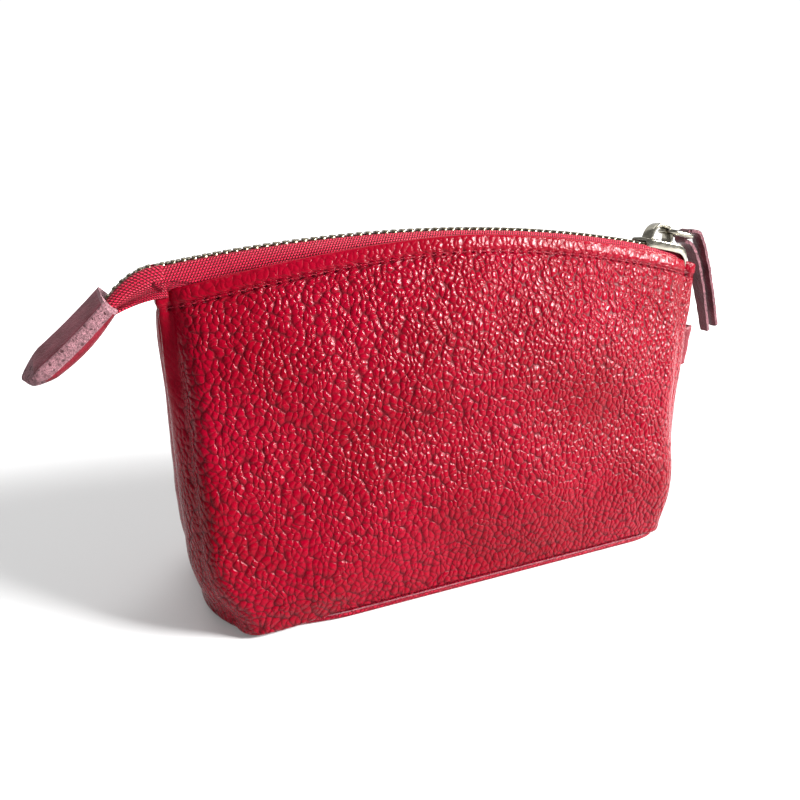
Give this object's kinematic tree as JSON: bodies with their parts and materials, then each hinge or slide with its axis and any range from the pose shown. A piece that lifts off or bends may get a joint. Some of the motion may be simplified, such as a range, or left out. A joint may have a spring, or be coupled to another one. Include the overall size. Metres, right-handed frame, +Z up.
{
  "type": "zippered_pouch",
  "caption": "Small flat-bottomed pouch of red pebbled leather, with an arched metal zip along its top, a strap zip pull, a leather end tab and a side loop.",
  "frame": {"origin": "the middle of the flat bottom panel's underside", "axes": "+X along the zip towards its closed end, +Y to the back, +Z up"},
  "size_m": [0.225, 0.0602, 0.1037],
  "materials": {
    "red_leather": "pebbled grain, semi-gloss",
    "lining_cloth": "matte woven",
    "zip_tape": "matte herringbone weave",
    "pale_nickel": "polished pale nickel",
    "thread": "twisted thread"
  },
  "bodies": {
    "body": {"front_panel": "red_leather", "back_panel": "red_leather", "base_panel": "red_leather", "front_lining": "lining_cloth", "back_lining": "lining_cloth", "front_tape": "zip_tape", "back_tape": "zip_tape", "front_teeth_open_end": "pale_nickel", "back_teeth_open_end": "pale_nickel", "front_teeth_closed_end": "pale_nickel", "back_teeth_closed_end": "pale_nickel", "front_top_stop": "pale_nickel", "back_top_stop": "pale_nickel", "side_loop": "red_leather", "front_topstitch": "thread", "back_topstitch": "thread"},
    "front_flap": {"front_tape_flap": "zip_tape", "front_teeth": "pale_nickel"},
    "back_flap": {"back_tape_flap": "zip_tape", "back_teeth": "pale_nickel"},
    "slider": {"slider_top_plate": "pale_nickel", "slider_bottom_plate": "pale_nickel", "slider_post": "pale_nickel", "slider_bridge": "pale_nickel"},
    "link": {"pull_link": "pale_nickel"},
    "strap": {"pull_strap": "red_leather"},
    "tail": {"front_tail_tape": "zip_tape", "back_tail_tape": "zip_tape", "front_tail_teeth": "pale_nickel", "back_tail_teeth": "pale_nickel", "end_tab": "red_leather", "bottom_stop": "pale_nickel"}
  },
  "joints": [
    {"name": "slider", "type": "hinge", "parent": "body", "child": "slider", "pos_m": [0, 0, -0.3378], "axis": [0, -1, 0], "range_deg": [0, 19], "deforming": ["pull_strap"]},
    {"name": "front_flap", "type": "hinge", "parent": "body", "child": "front_flap", "pos_m": [0, -0.0078, 0.0982], "axis": [1, 0, 0], "range_deg": [0, 75]},
    {"name": "back_flap", "type": "hinge", "parent": "body", "child": "back_flap", "pos_m": [0, 0.0078, 0.0982], "axis": [-1, 0, 0], "range_deg": [0, 75]},
    {"name": "link", "type": "hinge", "parent": "slider", "child": "link", "pos_m": [0.0775, 0, 0.1004], "axis": [0, -1, 0], "range_deg": [-4, 160]},
    {"name": "strap", "type": "hinge", "parent": "link", "child": "strap", "pos_m": [0.0872, 0, 0.0986], "axis": [0, -1, 0], "range_deg": [-3, 75]},
    {"name": "tail", "type": "hinge", "parent": "body", "child": "tail", "pos_m": [-0.0845, 0, 0.0942], "axis": [0, 1, 0], "range_deg": [0, 50]}
  ]
}
